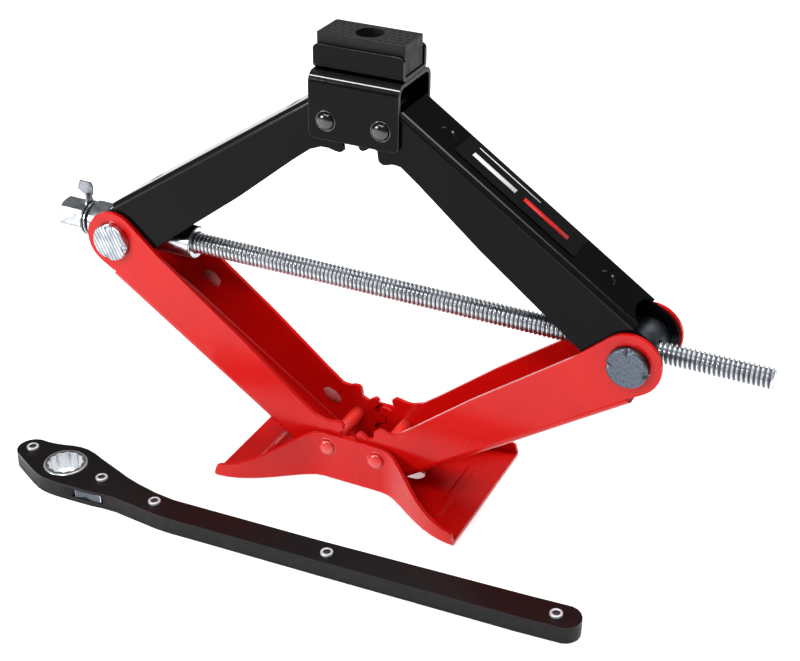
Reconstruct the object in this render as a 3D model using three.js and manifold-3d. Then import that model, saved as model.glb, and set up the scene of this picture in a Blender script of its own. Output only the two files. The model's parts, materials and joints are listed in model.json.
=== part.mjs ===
// Scissor stabilizer jack, half raised on its foot, with its loose ratchet handle in front of it.
// Millimetres. X runs along the drive screw, Y to the back, Z up from the ground under the foot.
import * as THREE from "three";
import { mergeVertices } from "three/addons/utils/BufferGeometryUtils.js";
import Module from "manifold-3d";

const wasm = await Module();
wasm.setup();

// ---- driving dimensions ------------------------------------------------------------------------
const GAP = 0.3; // running or assembly gap between two pieces

const ARM_LENGTH = 178; // pivot to trunnion
const ARM_ANGLE = THREE.MathUtils.degToRad(35.5); // above level, as the jack stands
const PIVOT_X = 16.2; // foot and saddle pivots stand this far either side of the middle
const FOOT_PIVOT_Z = 22.7;
const TRUNNION_X = PIVOT_X + ARM_LENGTH * Math.cos(ARM_ANGLE);
const TRUNNION_Z = FOOT_PIVOT_Z + ARM_LENGTH * Math.sin(ARM_ANGLE);
const SADDLE_PIVOT_Z = TRUNNION_Z + ARM_LENGTH * Math.sin(ARM_ANGLE);

// pressed channels: half width over the flanges, sheet, bend, and the web's distance from the
// line through the pivots, which grows by webSlope for each millimetre towards the trunnion's
// end; ear is the radius round the trunnion, edge and edgeEar the free edge's distance at each end
const LOWER = {
  half: 20.5, sheet: 2.5, bend: 4.2, web: 18, webSlope: 0.019, ear: 18, edge: 9.2, edgeEar: 15,
};
const UPPER = {
  half: 17.5, sheet: 2.3, bend: 3.4, web: 14.9, webSlope: 0.025, ear: 17.0, edge: 9.2, edgeEar: 15.8,
};
const SEAM = 0.02; // the bend's legs lie this far inside the flanges they run into
const WEB_START = 2; // the web begins here, measured from the pivot
const WEB_END = ARM_LENGTH - 12;
const WEB_NOTCH = 18.6; // radius of the round cut, centred on the trunnion, in an upper arm's web

const PIN_RADIUS = 4.4;
const TRUNNION_RADIUS = 11.5;
const TRUNNION_HALF = 24.9;

// sector teeth: eight to a full turn, meshing on the line between the two pivots
const TOOTH_PITCH = 45;
const TOOTH_TIP = 19.1;
const TOOTH_ROOT = 12.9;
const SECTOR_BACK = 14.5; // plain rim past the last tooth
const DIMPLE_DEPTH = 0.7;
const DIMPLE_RADIUS = 5.2;
const DIMPLES_AT = [26, 139]; // along an upper arm, from its pivot
const LABEL_FROM = 34.8;
const LABEL_TO = 118;
const LABEL_FRONT = -8.8;
const LABEL_BACK = 12.8;

const SCREW_RADIUS = 6.35;
const SCREW_BORE = 6.7;
const SCREW_END_X = 232.9;
const HEX_FLATS = 18;
const HEX_TURN = 12.7; // degrees from level to the hexagon's first corner
const HEX_START_X = -209.3;
const HEX_END_X = -192.6;
const COLLAR_OUT = -186.6; // outer ends of the thrust stack's pieces, from the trunnion outwards
const RACE_OUT = -188.6;
const WASHER_OUT = -190.4;
const SLEEVE_END = -114.6;
const COLLAR_RADIUS = 11.8;

const FOOT_SHEET = 2.2;
const FOOT_HALF_X = 78.4;
const FOOT_HALF_Y = 51;
const FOOT_WAIST_Y = 23.2;
const FOOT_WAIST_X = 19; // the flanges run straight and level as far as this
const FOOT_WAIST_TOP = 31.6;
const FOOT_TIP_TOP = 8.4;
const FOOT_TIP_ROUND = 3.5; // the flange's end is rounded off over this length
const RIB_X = 59.5;
const RIB_FROM = -32;
const RIB_TO = 22;
const DRAIN = { from: 26.3, to: 31.8, y: 1.8, radius: 5.2 };
const SLOT = { from: -62.2, to: -59.6, halfY: 9.7 };

const SADDLE_FLANGE = 20.05; // outer face of the bracket's flanges
const SADDLE_SHEET = 2.2;
const BRACKET_TOP = 255.4;
const BRACKET_LOW = 218.6;
const BRACKET_HALF_X = 26.6;
const PLATE_LOW = BRACKET_TOP + GAP;
const PLATE_TOP = 269.2;
const PLATE_HALF_X = 26.5;
const PAD_LOW = PLATE_LOW + SADDLE_SHEET + GAP;
const PAD_TOP = 275.1;
const PAD_HALF = [25.6, 11.7];
const PAD_RECESS = 7.8;
const RIVET_RADIUS = 4;

const HANDLE_THICK = 10.6;
const HANDLE_PLATE = 1.8;
const HANDLE_ORIGIN = [-183.62, -88.34]; // the end screw by the ratchet ring
const HEAD_TURN = THREE.MathUtils.degToRad(-8.2);
const GRIP_TURN = THREE.MathUtils.degToRad(10.85); // grip against head
const RING_RADIUS = 13.2;
const SOCKET_VALLEY = 9.52; // the twelve-point socket's inner and outer corners
const SOCKET_POINT = 10.62;
const SHANK_RADIUS = 2; // of the handle's screws
const RING_S = 27.1; // distances along the head from the end screw
const HEAD_SCREW_S = 56.4;
const ELBOW_S = 97.5;
const GRIP_SCREW_S = 111;
const GRIP_END_S = 242.6;

// ---- colours -----------------------------------------------------------------------------------
function paint(color, roughness, metalness = 0) {
  return new THREE.MeshStandardMaterial({ color, roughness, metalness });
}
const RED = paint(0xd8231b, 0.35);
const BLACK = paint(0x17171a, 0.35);
const ZINC = paint(0xc9ccd0, 0.35, 1);
const DULL_ZINC = paint(0x8d939b, 0.5, 1);
const RUBBER = paint(0x2c2b2c, 0.9);
const PLASTIC = paint(0x2a2b2c, 0.6);
const LABEL = paint(0x26262a, 0.5);

// ---- solids ------------------------------------------------------------------------------------
function welded(geometry) {
  const plain = geometry.clone();
  plain.deleteAttribute("normal");
  plain.deleteAttribute("uv");
  return mergeVertices(plain, 1e-4);
}

function toSolid(geometry) {
  const mesh = welded(geometry);
  const vertProperties = new Float32Array(mesh.attributes.position.array);
  const triVerts = new Uint32Array(mesh.index.array);
  return new wasm.Manifold(new wasm.Mesh({ numProp: 3, vertProperties, triVerts }));
}

function toGeometry(solid) {
  const mesh = solid.asOriginal().simplify(0.004).getMesh();
  const geometry = new THREE.BufferGeometry();
  const corners = new Float32Array(mesh.vertProperties);
  geometry.setAttribute("position", new THREE.BufferAttribute(corners, 3));
  geometry.setIndex(new THREE.BufferAttribute(new Uint32Array(mesh.triVerts), 1));
  return geometry;
}

function join(...parts) {
  return toGeometry(parts.map(toSolid).reduce((a, b) => a.add(b)));
}

function cut(body, ...tools) {
  return toGeometry(tools.map(toSolid).reduce((a, b) => a.subtract(b), toSolid(body)));
}

function common(a, b) {
  return toGeometry(toSolid(a).intersect(toSolid(b)));
}

// Carries each corner of a geometry through move([x, y, z]) and turns its faces out again.
function mapped(geometry, move) {
  const result = welded(geometry);
  const position = result.attributes.position;
  for (let i = 0; i < position.count; i += 1) {
    position.setXYZ(i, ...move([position.getX(i), position.getY(i), position.getZ(i)]));
  }
  if (signedVolume(result) < 0) {
    const index = result.index.array;
    for (let i = 0; i < index.length; i += 3) {
      [index[i], index[i + 1]] = [index[i + 1], index[i]];
    }
  }
  return result;
}

function signedVolume(geometry) {
  const position = geometry.attributes.position;
  const corner = (i) => new THREE.Vector3().fromBufferAttribute(position, geometry.index.array[i]);
  let volume = 0;
  for (let i = 0; i < geometry.index.count; i += 3) {
    volume += corner(i).dot(corner(i + 1).cross(corner(i + 2))) / 6;
  }
  return volume;
}

function outline(points, holes = []) {
  const shape = new THREE.Shape(points.map(([x, y]) => new THREE.Vector2(x, y)));
  for (const { x, y, radius, sides = 24 } of holes) {
    const ring = arc(x, y, radius, 0, 360, sides).slice(0, -1);
    shape.holes.push(new THREE.Path(ring.map(([a, b]) => new THREE.Vector2(a, b))));
  }
  return shape;
}

function arc(x, y, radius, fromDegrees, toDegrees, steps) {
  const points = [];
  for (let i = 0; i <= steps; i += 1) {
    const angle = THREE.MathUtils.degToRad(fromDegrees + ((toDegrees - fromDegrees) * i) / steps);
    points.push([x + radius * Math.cos(angle), y + radius * Math.sin(angle)]);
  }
  return points;
}

function slab(shape, thickness) {
  return new THREE.ExtrudeGeometry(shape, { depth: thickness, bevelEnabled: false, steps: 1 });
}

// A slab whose outline is in the XZ plane, between two Y planes.
const slabY = (shape, y0, y1) => mapped(slab(shape, y1 - y0), ([x, z, d]) => [x, y0 + d, z]);
// A slab whose outline is in the XY plane, between two heights.
const slabZ = (shape, z0, z1) => mapped(slab(shape, z1 - z0), ([x, y, d]) => [x, y, z0 + d]);
// A slab whose outline is in the YZ plane, between two X planes.
const slabX = (shape, x0, x1) => mapped(slab(shape, x1 - x0), ([y, z, d]) => [x0 + d, y, z]);

// A turned piece: profile is [radius, place along the axis], closed on the axis or on itself.
function turned(profile, sides, place) {
  const geometry = new THREE.LatheGeometry(profile.map(([r, a]) => new THREE.Vector2(r, a)), sides);
  return mapped(geometry, place);
}
const alongX = (z) => ([a, b, c]) => [b, a, c + z];
const alongY = (x, z) => ([a, b, c]) => [a + x, b, c + z];
const alongZ = (x, y) => ([a, b, c]) => [a + x, c + y, b];

const tube = (inner, outer, from, to, chamfer = 0.5) => [
  [inner, from], [outer - chamfer, from], [outer, from + chamfer],
  [outer, to - chamfer], [outer - chamfer, to], [inner, to], [inner, from],
];
const bar = (radius, from, to, chamfer = 0.8) => [
  [0, from], [radius - chamfer, from], [radius, from + chamfer],
  [radius, to - chamfer], [radius - chamfer, to], [0, to],
];

const group = new THREE.Group();
function add(name, geometry, material) {
  const mesh = new THREE.Mesh(geometry, material);
  mesh.name = name;
  group.add(mesh);
}

// ---- arms --------------------------------------------------------------------------------------
// An arm's own plane: u runs from its pivot to its trunnion, w outwards from the jack's middle.
// side is -1 for left and 1 for right, level is 1 for a lower arm and -1 for an upper one.
function armPlane(side, level) {
  const pivotZ = level > 0 ? FOOT_PIVOT_Z : SADDLE_PIVOT_Z;
  const [c, s] = [Math.cos(ARM_ANGLE), Math.sin(ARM_ANGLE)];
  return ([u, w]) => [side * (PIVOT_X + u * c + w * s), pivotZ + level * (u * s - w * c)];
}

// A point of the sector, at an angle that starts on the line away from the trunnion.
function sectorPoint(radius, degrees) {
  const angle = THREE.MathUtils.degToRad(degrees);
  return [-radius * Math.cos(angle), -radius * Math.sin(angle)];
}

// One side of a tooth: radius, and degrees from the tooth's middle.
const FLANK = [[TOOTH_ROOT, 13.5], [16, 10], [TOOTH_TIP - 0.7, 6], [TOOTH_TIP, 2]];

function tooth(centre) {
  const rising = FLANK.map(([r, a]) => sectorPoint(r, centre - a));
  const falling = FLANK.slice().reverse().map(([r, a]) => sectorPoint(r, centre + a));
  return [...rising, ...falling];
}

// The two flanges of an arm are cut half a tooth apart. Each pattern lists its teeth in tooth
// pitches from the meshing line, which lies at the arm's own angle, and then the points of the
// last tooth, which runs out into the flange's free edge.
const MESH = THREE.MathUtils.radToDeg(ARM_ANGLE);
const EVEN_TEETH = {
  teeth: [-1, 0, 1],
  runOut: [[4.8, -12], [7.3, -14.8], [9, -16.2], [11.4, -16.2], [13.4, -14.6], [15.2, -12], [17.4, -10.4]],
};
const ODD_TEETH = {
  teeth: [-0.5, 0.5],
  runOut: [[0.2, -12.9], [0.4, -16.2], [1.7, -18.6], [4.2, -18.7], [6.6, -16.6], [9.4, -13.4], [13, -10.9]],
};

function flangeOutline(channel, pattern) {
  const webLine = (u) => channel.web + channel.webSlope * u - channel.bend;
  const teeth = pattern.teeth.map((n) => MESH + n * TOOTH_PITCH);
  const rim = [];
  for (let a = -98; a < teeth[0] - 27; a += 11) {
    rim.push(sectorPoint(SECTOR_BACK, a));
  }
  const ear = arc(ARM_LENGTH, 0, channel.ear, -96, 92, 16);
  return [
    [WEB_END + 1.2, webLine(WEB_END)],
    [WEB_START, webLine(WEB_START)],
    ...rim,
    ...teeth.flatMap(tooth),
    ...pattern.runOut,
    [20, -channel.edge],
    [34, -channel.edge - 0.6],
    [80, -(channel.edge + channel.edgeEar) / 2 - 0.9],
    [150, -channel.edgeEar],
    ...ear,
    [WEB_END + 1.6, channel.ear - 0.6],
    [WEB_END + 1.2, channel.ear - 1.2],
  ];
}

// The web with its two bends, as a U section drawn across the arm and run along it.
function bentWeb(channel, side, level) {
  const half = channel.half - SEAM;
  const sheet = channel.sheet - 2 * SEAM;
  const { bend } = channel;
  const inner = bend - sheet;
  const leg = -bend - 0.6;
  const section = [
    [-half, leg],
    ...arc(-half + bend, -bend, bend, 180, 90, 4),
    ...arc(half - bend, -bend, bend, 90, 0, 4),
    [half, leg],
    [half - sheet, leg],
    ...arc(half - bend, -bend, inner, 0, 90, 3),
    ...arc(-half + bend, -bend, inner, 90, 180, 3),
    [-half + sheet, leg],
  ];
  const place = armPlane(side, level);
  return mapped(slab(outline(section), WEB_END - WEB_START), ([y, w, d]) => {
    const u = WEB_START + d;
    const [x, z] = place([u, channel.web + channel.webSlope * u + w]);
    return [x, y, z];
  });
}

function arm(side, level, frontPattern, backPattern) {
  const channel = level > 0 ? LOWER : UPPER;
  const place = armPlane(side, level);
  const [pivotX, pivotZ] = place([0, 0]);
  const [trunnionX, trunnionZ] = place([ARM_LENGTH, 0]);
  const holes = [
    { x: pivotX, y: pivotZ, radius: PIN_RADIUS + GAP, sides: 14 },
    { x: trunnionX, y: trunnionZ, radius: TRUNNION_RADIUS + GAP },
  ];
  const flange = (pattern) => outline(flangeOutline(channel, pattern).map(place), holes);
  const front = slabY(flange(frontPattern), -channel.half, -channel.half + channel.sheet);
  const back = slabY(flange(backPattern), channel.half - channel.sheet, channel.half);
  return join(front, back, bentWeb(channel, side, level));
}

// A round tool that stands square on an upper arm's web, from a [radius, height] profile.
function webTool(side, u, profile, sides) {
  const place = armPlane(side, -1);
  const geometry = new THREE.LatheGeometry(profile.map(([r, w]) => new THREE.Vector2(r, w)), sides);
  return mapped(geometry, ([a, w, y]) => {
    const [x, z] = place([u + a, w]);
    return [x, y, z];
  });
}

// Round dimples pressed into an upper arm's web, and the round cut at its end.
function pressedUpper(body, side) {
  const dimples = DIMPLES_AT.map((u) => {
    const top = UPPER.web + UPPER.webSlope * u + 0.6;
    const floor = top - 0.6 - DIMPLE_DEPTH;
    const profile = [[0, floor], [DIMPLE_RADIUS - 1, floor], [DIMPLE_RADIUS, top], [0, top]];
    return webTool(side, u, profile, 20);
  });
  const [low, high] = [UPPER.web - UPPER.sheet, UPPER.web + UPPER.ear];
  const notch = webTool(side, ARM_LENGTH, [[0, low], [WEB_NOTCH, low], [WEB_NOTCH, high], [0, high]], 64);
  return cut(body, ...dimples, withinFlanges(notch));
}

// Keeps the round cut inside the channel, clear of its bends.
function withinFlanges(tool) {
  const half = UPPER.half - UPPER.bend + 1.5;
  return mapped(tool, ([x, y, z]) => [x, THREE.MathUtils.clamp(y, -half, half), z]);
}

add("lower_arm_left", arm(-1, 1, ODD_TEETH, EVEN_TEETH), RED);
add("lower_arm_right", arm(1, 1, EVEN_TEETH, ODD_TEETH), RED);
add("upper_arm_left", pressedUpper(arm(-1, -1, ODD_TEETH, EVEN_TEETH), -1), BLACK);
add("upper_arm_right", pressedUpper(arm(1, -1, EVEN_TEETH, ODD_TEETH), 1), BLACK);

function labelPlate() {
  const place = armPlane(1, -1);
  const thick = 0.3;
  const corners = [[LABEL_FRONT, 0], [LABEL_BACK, 0], [LABEL_BACK, thick], [LABEL_FRONT, thick]];
  return mapped(slab(outline(corners), LABEL_TO - LABEL_FROM), ([y, w, d]) => {
    const u = LABEL_FROM + d;
    const [x, z] = place([u, UPPER.web + UPPER.webSlope * u + GAP + w]);
    return [x, y, z];
  });
}
add("label_plate", labelPlate(), LABEL);

// ---- foot --------------------------------------------------------------------------------------
function bezier(...points) {
  return new THREE.CubicBezierCurve(...points.map(([x, y]) => new THREE.Vector2(x, y)));
}
const FOOT_TIP = [FOOT_HALF_X, FOOT_HALF_Y];
const footEdge = bezier([FOOT_WAIST_X, FOOT_WAIST_Y], [33, FOOT_WAIST_Y], [51, FOOT_HALF_Y - 0.6], FOOT_TIP);
const FOOT_FALL = [[34, FOOT_WAIST_TOP], [46, 10.5], [FOOT_HALF_X, FOOT_TIP_TOP]];
const footHeight = bezier([FOOT_WAIST_X, FOOT_WAIST_TOP], ...FOOT_FALL);
const FOOT_STATIONS = [0, 0.1, 0.2, 0.3, 0.4, 0.5, 0.6, 0.7, 0.8, 0.86, 0.91, 0.95, 0.98, 1];
const DRILL_REACH = 30; // half length of a drill for the pivot holes

// The outline's right half, front side, from the middle to the tip, pushed in by inset.
function footSide(inset) {
  return FOOT_STATIONS.map((t) => {
    const at = footEdge.getPoint(t);
    const along = footEdge.getTangent(t);
    return [at.x + along.y * inset, at.y - along.x * inset];
  });
}

function footHeightAt(x) {
  let [low, high] = [0, 1];
  for (let i = 0; i < 30; i += 1) {
    const middle = (low + high) / 2;
    if (footHeight.getPoint(middle).x < x) {
      low = middle;
    } else {
      high = middle;
    }
  }
  const past = Math.max(0, (x - FOOT_HALF_X + FOOT_TIP_ROUND) / FOOT_TIP_ROUND);
  const round = Math.sqrt(Math.max(0, 1 - past * past));
  const floor = FOOT_SHEET + 0.4;
  return floor + (footHeight.getPoint(low).y - floor) * round;
}

// One upturned flange: a wall that follows the outline, lofted between its inner and outer faces.
function footFlange(sideY) {
  const half = footSide(0);
  const halfIn = footSide(FOOT_SHEET);
  const mirrored = (list) => list.slice().reverse().map(([x, y]) => [-x, y]);
  const outer = [...mirrored(half), ...half];
  const withinFoot = ([x, y]) => [THREE.MathUtils.clamp(x, -FOOT_HALF_X, FOOT_HALF_X), y];
  const inner = [...mirrored(halfIn), ...halfIn].map(withinFoot);
  const positions = [];
  const ringSize = 6;
  outer.forEach(([x, y], i) => {
    const top = footHeightAt(Math.abs(x));
    const [inX, inY] = inner[i];
    const [nx, ny] = [(inX - x) / FOOT_SHEET, (inY - y) / FOOT_SHEET];
    const ring = [
      [x + 1.4 * nx, y + 1.4 * ny, 0],
      [x + 0.3 * nx, y + 0.3 * ny, 1],
      [x, y, 2.4],
      [x, y, top],
      [inX, inY, top],
      [inX, inY, 0],
    ];
    ring.forEach(([a, b, c]) => positions.push(a, sideY * b, c));
  });
  const index = [];
  for (let i = 0; i < outer.length - 1; i += 1) {
    for (let k = 0; k < ringSize; k += 1) {
      const a = i * ringSize + k;
      const b = i * ringSize + ((k + 1) % ringSize);
      index.push(a, a + ringSize, b, b, a + ringSize, b + ringSize);
    }
  }
  const last = (outer.length - 1) * ringSize;
  for (let k = 1; k < ringSize - 1; k += 1) {
    index.push(0, k, k + 1);
    index.push(last, last + k + 1, last + k);
  }
  const geometry = new THREE.BufferGeometry();
  geometry.setAttribute("position", new THREE.Float32BufferAttribute(positions, 3));
  geometry.setIndex(index);
  return mapped(geometry, (point) => point);
}

function footPlate() {
  const half = footSide(FOOT_SHEET / 2).map(([x, y]) => [Math.min(x, FOOT_HALF_X), y]);
  const left = half.slice().reverse().map(([x, y]) => [-x, -y]);
  const front = [...left, ...half.map(([x, y]) => [x, -y])];
  const back = front.slice().reverse().map(([x, y]) => [x, -y]);
  const floor = slabZ(outline([...front, ...back]), 0, FOOT_SHEET);
  const pressed = join(floor, rib(-RIB_X), rib(RIB_X), footFlange(1), footFlange(-1));
  const leftEnd = arc(DRAIN.from, DRAIN.y, DRAIN.radius, 90, 270, 8);
  const rightEnd = arc(DRAIN.to, DRAIN.y, DRAIN.radius, -90, 90, 8);
  const { from, to, halfY } = SLOT;
  const corners = [[from, -halfY], [to, -halfY], [to, halfY], [from, halfY]];
  const drain = slabZ(outline([...leftEnd, ...rightEnd]), -1, 9);
  const slot = slabZ(outline(corners), -1, 9);
  return cut(pressed, ...pivotDrills(FOOT_PIVOT_Z), drain, slot);
}

function rib(x) {
  const section = [
    [x - 3.2, 1], [x - 3.2, 2.3], [x - 1.2, 3.3], [x + 1.2, 3.3], [x + 3.2, 2.3], [x + 3.2, 1],
  ];
  return slabY(outline(section), RIB_FROM, RIB_TO);
}

function pivotDrills(z) {
  const drill = bar(PIN_RADIUS + GAP, -DRILL_REACH, DRILL_REACH);
  return [-PIVOT_X, PIVOT_X].map((x) => turned(drill, 20, alongY(x, z)));
}
add("base_plate", footPlate(), RED);

// ---- pins --------------------------------------------------------------------------------------
function domedPin(face, x, z) {
  const head = PIN_RADIUS + 0.5;
  const start = face + GAP;
  const half = [
    [PIN_RADIUS, start], [head, start + 0.1], [head * 0.85, start + 1.4], [0, start + 2.3],
  ];
  const profile = [...half.slice().reverse().map(([r, a]) => [r, -a]), ...half];
  return turned(profile, 16, alongY(x, z));
}
for (const [name, side] of [["left", -1], ["right", 1]]) {
  add(`base_pin_${name}`, domedPin(FOOT_WAIST_Y, side * PIVOT_X, FOOT_PIVOT_Z), RED);
  add(`saddle_pin_${name}`, domedPin(SADDLE_FLANGE, side * PIVOT_X, SADDLE_PIVOT_Z), BLACK);
}

// ---- trunnions ---------------------------------------------------------------------------------
for (const [name, side, material] of [["left", -1, ZINC], ["right", 1, DULL_ZINC]]) {
  const pin = bar(TRUNNION_RADIUS, -TRUNNION_HALF, TRUNNION_HALF);
  const body = turned(pin, 28, alongY(side * TRUNNION_X, TRUNNION_Z));
  const reach = TRUNNION_X + 2 * TRUNNION_RADIUS;
  const bore = turned(bar(SCREW_BORE, -reach, reach, 0), 18, alongX(TRUNNION_Z));
  add(`trunnion_${name}`, cut(body, bore), material);
}

// ---- drive screw and its thrust stack ----------------------------------------------------------
const onScrew = alongX(TRUNNION_Z);
add("drive_screw", turned(bar(SCREW_RADIUS, HEX_END_X + GAP, SCREW_END_X, 1.6), 22, onScrew), ZINC);
const TRUNNION_OUT = -TRUNNION_X - TRUNNION_RADIUS - GAP;
const TRUNNION_IN = -TRUNNION_X + TRUNNION_RADIUS + GAP;
for (const [name, radius, from, to, chamfer, material] of [
  ["thrust_collar", COLLAR_RADIUS, COLLAR_OUT, TRUNNION_OUT, 0.5, ZINC],
  ["bearing_race", 9.2, RACE_OUT, COLLAR_OUT - GAP, 0.2, DULL_ZINC],
  ["thrust_washer", 10.6, WASHER_OUT, RACE_OUT - GAP, 0.3, ZINC],
  ["spacer_sleeve", 10.1, TRUNNION_IN, SLEEVE_END, 0.6, ZINC],
]) {
  add(name, turned(tube(SCREW_BORE, radius, from, to, chamfer), 22, onScrew), material);
}

function driveHead() {
  const corner = HEX_FLATS / 2 / Math.cos(Math.PI / 6);
  const hexagon = arc(0, TRUNNION_Z, corner, HEX_TURN, HEX_TURN + 300, 5);
  const prism = slabX(outline(hexagon), HEX_START_X, HEX_END_X);
  const chamfered = [
    [0, HEX_START_X], [8.6, HEX_START_X], [corner + 0.2, HEX_START_X + 1.5],
    [corner + 0.2, HEX_END_X + 1], [0, HEX_END_X + 1],
  ];
  return common(prism, turned(chamfered, 36, onScrew));
}
add("drive_head", driveHead(), ZINC);

// A lock washer behind the hexagon, with one ear turned up and a wing folded along the screw.
function tabWasher() {
  const [x0, x1] = [HEX_END_X + GAP, HEX_END_X + GAP + 1.3];
  const washer = turned(tube(SCREW_RADIUS + GAP, 10.8, x0, x1, 0.2), 22, onScrew);
  const neck = [[-4.6, 8.5], [4.6, 8.5], [2.7, 12.8], [2.7, 16.6], [-2.7, 16.6], [-2.7, 12.8]];
  const wing = [[-7.6, 17.8], [-5.6, 23.4], [3.4, 24.2], [4.8, 22], [4.4, 16.4], [1.4, 15.2], [-3, 15.6]];
  const lifted = ([x, y, z]) => [x, y, TRUNNION_Z + z];
  const stem = mapped(slabX(outline(neck), x0, x1), lifted);
  const plate = slabY(outline(wing.map(([x, z]) => [x0 + x, z])), -0.65, 0.65);
  const folded = mapped(plate, ([x, y, z]) => lifted([x, y - 0.16 * (x - x0), z]));
  return join(washer, stem, folded);
}
add("drive_tab", tabWasher(), ZINC);

// ---- saddle ------------------------------------------------------------------------------------
function channelSection(half, sheet, bend, low, high, opensUp) {
  const inner = bend - sheet;
  const turn = (z) => (opensUp ? low + high - z : z);
  const points = [
    [-half, low],
    ...arc(-half + bend, high - bend, bend, 180, 90, 5),
    ...arc(half - bend, high - bend, bend, 90, 0, 5),
    [half, low],
    [half - sheet, low],
    ...arc(half - bend, high - bend, inner, 0, 90, 3),
    ...arc(-half + bend, high - bend, inner, 90, 180, 3),
    [-half + sheet, low],
  ];
  return points.map(([y, z]) => [y, turn(z)]);
}

// A flange outline with two rounded corners at one height, used to trim a channel's legs.
function roundedFace(halfX, low, high, radius, roundLow) {
  const flat = roundLow ? high : low;
  const round = roundLow ? low : high;
  const step = roundLow ? radius : -radius;
  const [left, right] = roundLow ? [[180, 270], [270, 360]] : [[180, 90], [90, 0]];
  return [
    [-halfX, flat],
    ...arc(-halfX + radius, round + step, radius, ...left, 4),
    ...arc(halfX - radius, round + step, radius, ...right, 4),
    [halfX, flat],
  ];
}

function saddleBracket() {
  const half = SADDLE_FLANGE;
  const section = channelSection(half, SADDLE_SHEET, 6, BRACKET_LOW, BRACKET_TOP, false);
  const body = slabX(outline(section), -BRACKET_HALF_X, BRACKET_HALF_X);
  const face = roundedFace(BRACKET_HALF_X, BRACKET_LOW, BRACKET_TOP + 1, 3.4, true);
  const trimmed = common(body, slabY(outline(face), -half - 1, half + 1));
  return cut(trimmed, ...pivotDrills(SADDLE_PIVOT_Z), rivetDrill());
}
add("saddle_bracket", saddleBracket(), BLACK);

function rivetDrill() {
  return turned(bar(RIVET_RADIUS + GAP, BRACKET_TOP - 8, BRACKET_TOP + 8), 20, alongZ(0, 0));
}

function saddlePlate() {
  const half = PAD_HALF[1] + GAP + SADDLE_SHEET;
  const section = channelSection(half, SADDLE_SHEET, 2.9, PLATE_LOW, PLATE_TOP, true);
  const body = slabX(outline(section), -PLATE_HALF_X, PLATE_HALF_X);
  const face = roundedFace(PLATE_HALF_X, PLATE_LOW - 1, PLATE_TOP, 3, false);
  const trimmed = common(body, slabY(outline(face), -half - 1, half + 1));
  return cut(trimmed, rivetDrill());
}
add("saddle_plate", saddlePlate(), BLACK);

const rivetProfile = [
  [0, BRACKET_TOP - 4.2], [4.2, BRACKET_TOP - 4.2], [6.4, BRACKET_TOP - 3.4], [6.6, BRACKET_TOP - 2.5],
  [RIVET_RADIUS, BRACKET_TOP - 2.5], [RIVET_RADIUS, PAD_LOW],
  [6.8, PAD_LOW], [6.6, PAD_LOW + 1.4], [4.4, PAD_LOW + 2.6], [0, PAD_LOW + 3],
];
add("saddle_rivet", turned(rivetProfile, 24, alongZ(0, 0)), BLACK);

function rubberPad() {
  const [halfX, halfY] = PAD_HALF;
  const r = 1.2;
  const corner = (x, y, a) => arc(x, y, r, a, a + 90, 3);
  const round = [
    ...corner(halfX - r, halfY - r, 0), ...corner(-halfX + r, halfY - r, 90),
    ...corner(-halfX + r, -halfY + r, 180), ...corner(halfX - r, -halfY + r, 270),
  ];
  const body = slabZ(outline(round), PAD_LOW, PAD_TOP);
  const recess = turned(bar(PAD_RECESS, PAD_TOP - 6, PAD_TOP + 4, 0), 28, alongZ(0, 0));
  const through = turned(bar(PAD_RECESS - 0.6, PAD_LOW - 4, PAD_TOP, 0), 24, alongZ(0, 0));
  return cut(body, recess, through);
}
add("rubber_pad", rubberPad(), RUBBER);

// ---- ratchet handle ----------------------------------------------------------------------------
// Its own plane: s along the head from the end screw, t across it. The grip turns at the elbow.
function along(turn, [x, y], s, t) {
  return [x + s * Math.cos(turn) - t * Math.sin(turn), y + s * Math.sin(turn) + t * Math.cos(turn)];
}
const head = (s, t = 0) => along(HEAD_TURN, HANDLE_ORIGIN, s, t);
const elbow = head(ELBOW_S);
const grip = (s, t = 0) => along(HEAD_TURN + GRIP_TURN, elbow, s, t);
const RING = head(RING_S);

// Half of the outline is a smooth line through these [s, half width] stations.
function handleOutline(shrink = 0) {
  const backHead = [[3, 10.2], [12, 12.9], [21, 16.8], [31, 17.8], [44, 14.9], [60, 11.6], [75, 8.8]];
  const backGrip = [[4, 7.2], [30, 6.7], [110, 6.6], [225, 8.5]];
  const frontGrip = [[225, -10], [110, -10.2], [30, -10], [6, -9.6]];
  const frontHead = [[75, -9.6], [60, -13], [45, -16], [31, -18.2], [21, -17.6], [10, -14]];
  const narrowed = (t) => t - Math.sign(t) * shrink;
  const point = (frame) => ([s, t]) => new THREE.Vector2(...frame(s, narrowed(t)));
  const back = [...backHead.map(point(head)), ...backGrip.map(point(grip))];
  const front = [...frontGrip.map(point(grip)), ...frontHead.map(point(head))];
  const round = (centre, frame, radius, from, to) => {
    const points = arc(0, 0, radius - shrink, from, to, 8);
    return points.map(([s, t]) => new THREE.Vector2(...frame(centre + s, t)));
  };
  const backLine = new THREE.SplineCurve(back).getPoints(18);
  const frontLine = new THREE.SplineCurve(front).getPoints(18);
  const tip = round(GRIP_END_S + 4.5, grip, 9.4, 80, -80);
  const nose = round(0.3, head, 9.9, 235, 92);
  return [...backLine, ...tip, ...frontLine, ...nose].map((v) => [v.x, v.y]);
}

const HANDLE_SCREWS = [head(0), head(HEAD_SCREW_S), elbow, grip(GRIP_SCREW_S, -2.8), grip(GRIP_END_S, -0.8)];
const screwHoles = (radius) => HANDLE_SCREWS.map(([x, y]) => ({ x, y, radius, sides: 16 }));
const ringHole = (radius) => ({ x: RING[0], y: RING[1], radius, sides: 36 });

const CORE_LOW = HANDLE_PLATE + GAP;
const CORE_TOP = HANDLE_THICK - HANDLE_PLATE - GAP;
const CORE_FLOOR = 1.1; // left under the pocket

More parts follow.
